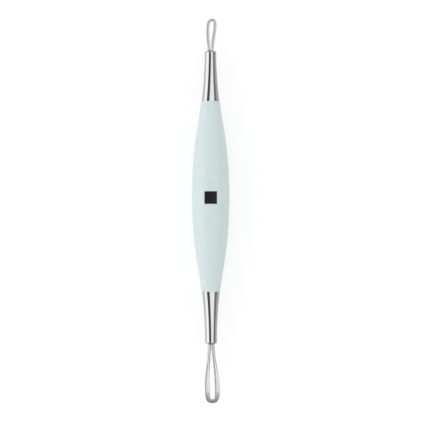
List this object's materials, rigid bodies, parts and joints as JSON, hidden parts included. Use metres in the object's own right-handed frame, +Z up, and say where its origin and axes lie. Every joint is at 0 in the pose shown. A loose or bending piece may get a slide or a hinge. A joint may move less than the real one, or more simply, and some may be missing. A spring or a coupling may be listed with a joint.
{
  "type": "blackhead extractor",
  "caption": "Slim double-ended skin tool: a spindle-shaped plastic handle with a tapered steel ferrule and a flattened steel wire loop at each end.",
  "frame": {"origin": "under the middle of the tool's whole length, on the surface that it lies on, where the belly of the handle touches down", "axes": "+Y along the tool towards the small loop, +Z up through the badge, +X to the right when the small loop points away"},
  "size_m": [0.012, 0.125, 0.0121],
  "materials": {
    "handle_plastic": "pale ice-blue moulded plastic with a soft satin sheen",
    "badge_plastic": "plain black inlay, bare",
    "ferrule_steel": "turned stainless steel, polished along its length",
    "braze_metal": "silver braze, slightly dull",
    "wire_steel": "stainless steel wire, pressed flat and tumbled smooth"
  },
  "bodies": {
    "root": {"handle": "handle_plastic", "badge": "badge_plastic", "small_ferrule": "ferrule_steel", "small_braze": "braze_metal", "small_loop": "wire_steel", "large_ferrule": "ferrule_steel", "large_braze": "braze_metal", "large_loop": "wire_steel"}
  },
  "joints": []
}
